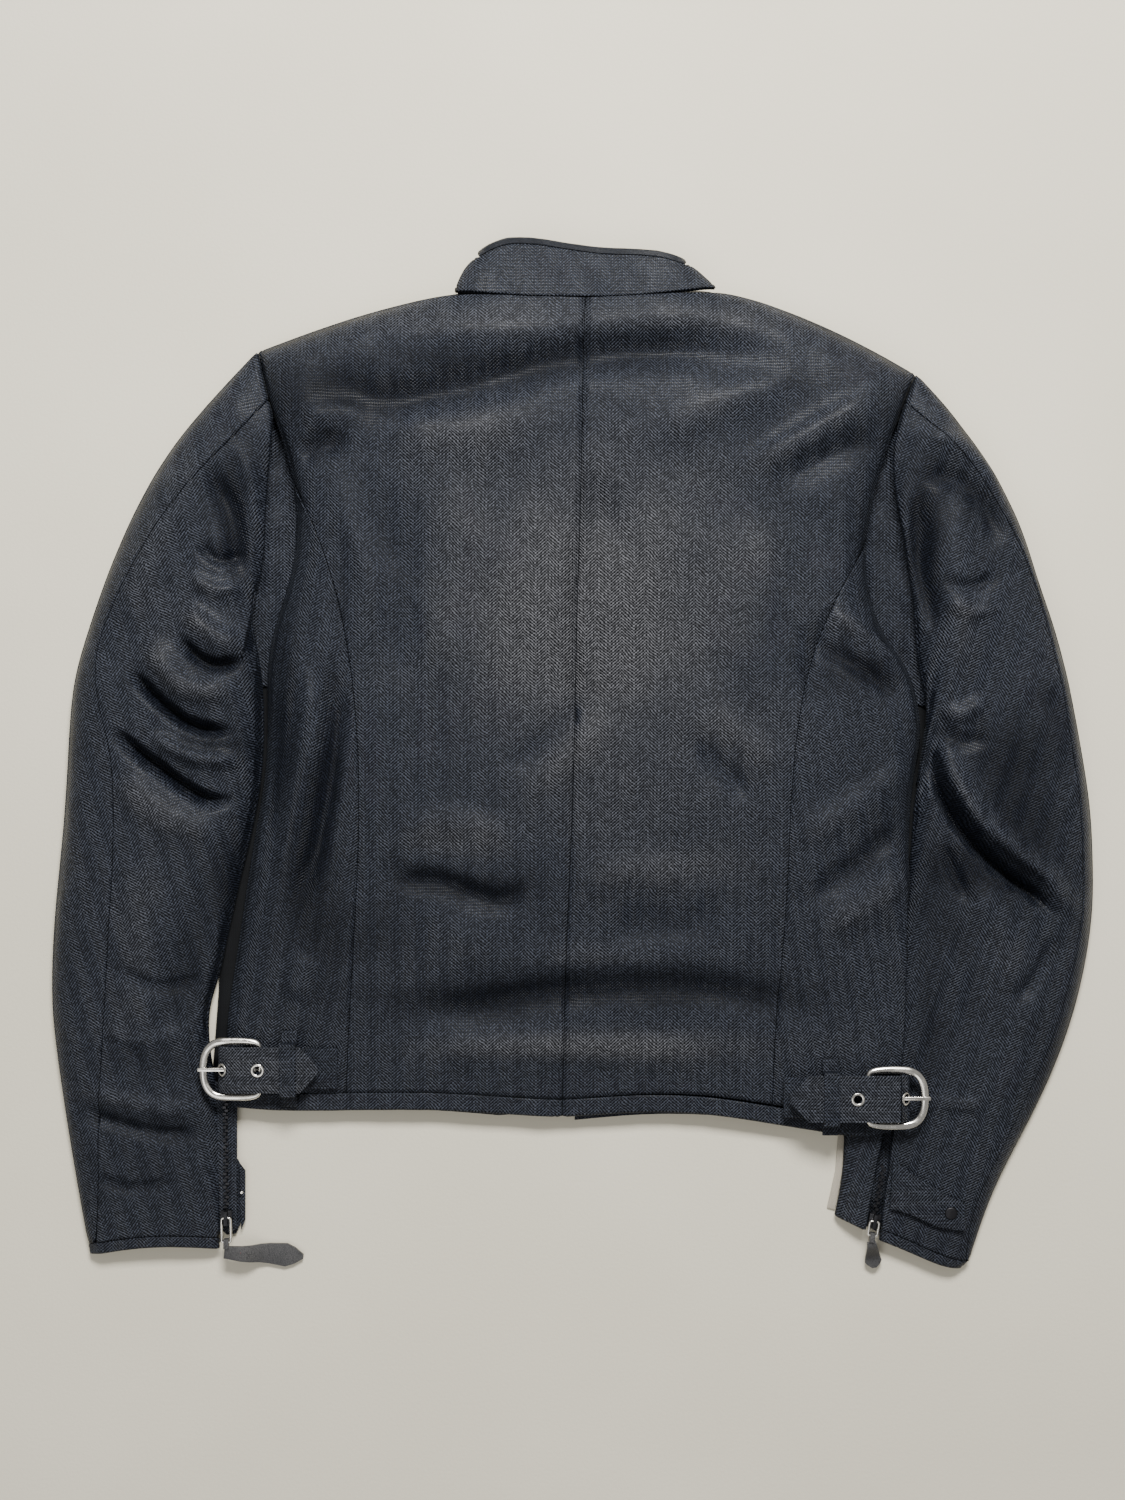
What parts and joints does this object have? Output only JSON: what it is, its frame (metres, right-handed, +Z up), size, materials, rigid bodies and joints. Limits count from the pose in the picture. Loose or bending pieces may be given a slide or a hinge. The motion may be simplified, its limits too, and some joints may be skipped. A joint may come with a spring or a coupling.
{
  "type": "motorcycle jacket",
  "caption": "Short mesh-cloth riding jacket laid on its front, back up, with stand collar, zipped cuffs and buckled waist straps.",
  "frame": {"origin": "middle of the jacket's laid-out outline, on the surface that it lies on", "axes": "+Z up out of the back, +Y from hem to collar, +X towards the wearer's right"},
  "size_m": [0.7524, 0.743, 0.033],
  "materials": {
    "navy_mesh": "coarse warp-knit mesh with a slight sheen",
    "navy_band": "close-woven tape",
    "black_lining": "smooth lining",
    "black_foam": "matt foam",
    "zip_tape": "woven tape with moulded teeth",
    "grey_leather": "satin leather",
    "nickel": "bright nickel plate, worn",
    "cream_facing": "plain tape"
  },
  "bodies": {
    "jacket": {"back_lining": "black_lining", "back_panel_left": "navy_mesh", "back_panel_right": "navy_mesh", "back_protector": "black_foam", "belt_loop_left": "navy_mesh", "belt_loop_right": "navy_mesh", "buckle_chape_left": "navy_mesh", "buckle_chape_right": "navy_mesh", "buckle_frame_left": "nickel", "buckle_frame_right": "nickel", "collar_binding": "navy_band", "collar_lining": "black_lining", "collar_shell": "navy_mesh", "front_collar_left": "navy_mesh", "front_collar_right": "navy_mesh", "front_panel_left": "navy_mesh", "front_panel_right": "navy_mesh", "front_zip_chain": "nickel", "front_zip_tape_left": "zip_tape", "front_zip_tape_right": "zip_tape", "hem_band_left": "navy_band", "hem_band_right": "navy_band", "side_back_panel_left": "navy_mesh", "side_back_panel_right": "navy_mesh", "strap_eyelet_left": "nickel", "strap_eyelet_right": "nickel", "waist_strap_left": "navy_mesh", "waist_strap_right": "navy_mesh"},
    "sleeve_left": {"sleeve_back_panel_left": "navy_mesh", "sleeve_outer_panel_left": "navy_mesh", "sleeve_under_panel_left": "navy_mesh", "cuff_band_left": "navy_band", "cuff_zip_chain_left": "zip_tape", "elbow_protector_left": "black_foam", "shoulder_protector_left": "black_foam"},
    "sleeve_right": {"sleeve_back_panel_right": "navy_mesh", "sleeve_outer_panel_right": "navy_mesh", "sleeve_under_panel_right": "navy_mesh", "cuff_band_right": "navy_band", "cuff_zip_chain_right": "zip_tape", "elbow_protector_right": "black_foam", "shoulder_protector_right": "black_foam", "cuff_gusset_right": "navy_mesh", "cuff_facing_right": "cream_facing"},
    "cuff_slider_left": {"cuff_zip_slider_left": "nickel"},
    "cuff_pull_left": {"cuff_pull_ring_left": "nickel", "cuff_pull_tab_left": "grey_leather"},
    "cuff_tab_left": {"cuff_strap_left": "navy_mesh", "cuff_snap_left": "nickel"},
    "prong_left": {"buckle_prong_left": "nickel", "prong_eyelet_left": "nickel"},
    "cuff_slider_right": {"cuff_zip_slider_right": "nickel"},
    "cuff_pull_right": {"cuff_pull_ring_right": "nickel", "cuff_pull_tab_right": "grey_leather"},
    "cuff_tab_right": {"cuff_strap_right": "navy_mesh", "cuff_snap_right": "nickel"},
    "prong_right": {"buckle_prong_right": "nickel", "prong_eyelet_right": "nickel"},
    "front_slider": {"front_zip_slider": "nickel"},
    "front_pull": {"front_zip_pull": "nickel"}
  },
  "joints": [
    {"name": "sleeve_swing_left", "type": "hinge", "parent": "jacket", "child": "sleeve_left", "pos_m": [-0.2263, 0.29062, 0], "axis": [0, 0, -1], "range_deg": [0, 12]},
    {"name": "sleeve_swing_right", "type": "hinge", "parent": "jacket", "child": "sleeve_right", "pos_m": [0.24671, 0.27423, 0], "axis": [0, 0, 1], "range_deg": [0, 12]},
    {"name": "buckle_prong_left", "type": "hinge", "parent": "jacket", "child": "prong_left", "pos_m": [-0.2241, -0.22499, 0.02], "axis": [0, 1, 0], "range_deg": [0, 16], "deforming": ["waist_strap_left"]},
    {"name": "buckle_prong_right", "type": "hinge", "parent": "jacket", "child": "prong_right", "pos_m": [0.21131, -0.2451, 0.0232], "axis": [0, -1, 0], "range_deg": [0, 16], "deforming": ["waist_strap_right"]},
    {"name": "front_zip_slide", "type": "slide", "parent": "jacket", "child": "front_slider", "axis": [-0.0282, -0.9996, 0], "range_m": [0, 0.53]},
    {"name": "front_pull_swing", "type": "hinge", "parent": "front_slider", "child": "front_pull", "pos_m": [0.00844, 0.30636, 0.0009], "axis": [0.9996, -0.0282, 0], "range_deg": [0, 100]},
    {"name": "cuff_zip_slide_left", "type": "slide", "parent": "sleeve_left", "child": "cuff_slider_left", "axis": [-0.015, 0.9999, 0], "range_m": [0, 0.06]},
    {"name": "cuff_zip_slide_right", "type": "slide", "parent": "sleeve_right", "child": "cuff_slider_right", "axis": [0.1676, 0.9859, 0], "range_m": [0, 0.006]},
    {"name": "cuff_pull_swing_left", "type": "hinge", "parent": "cuff_slider_left", "child": "cuff_pull_left", "pos_m": [-0.25004, -0.33376, 0.0118], "axis": [-0.9999, -0.015, 0], "range_deg": [0, 120]},
    {"name": "cuff_pull_swing_right", "type": "hinge", "parent": "cuff_slider_right", "child": "cuff_pull_right", "pos_m": [0.2177, -0.33577, 0.014], "axis": [-0.9859, 0.1676, 0], "range_deg": [0, 120]},
    {"name": "cuff_strap_swing_left", "type": "hinge", "parent": "sleeve_left", "child": "cuff_tab_left", "pos_m": [-0.24177, -0.32035, 0.003], "axis": [0, -1, 0], "range_deg": [0, 90]},
    {"name": "cuff_strap_swing_right", "type": "hinge", "parent": "sleeve_right", "child": "cuff_tab_right", "pos_m": [0.22951, -0.30843, 0.0136], "axis": [0, -1, 0], "range_deg": [0, 80]}
  ]
}
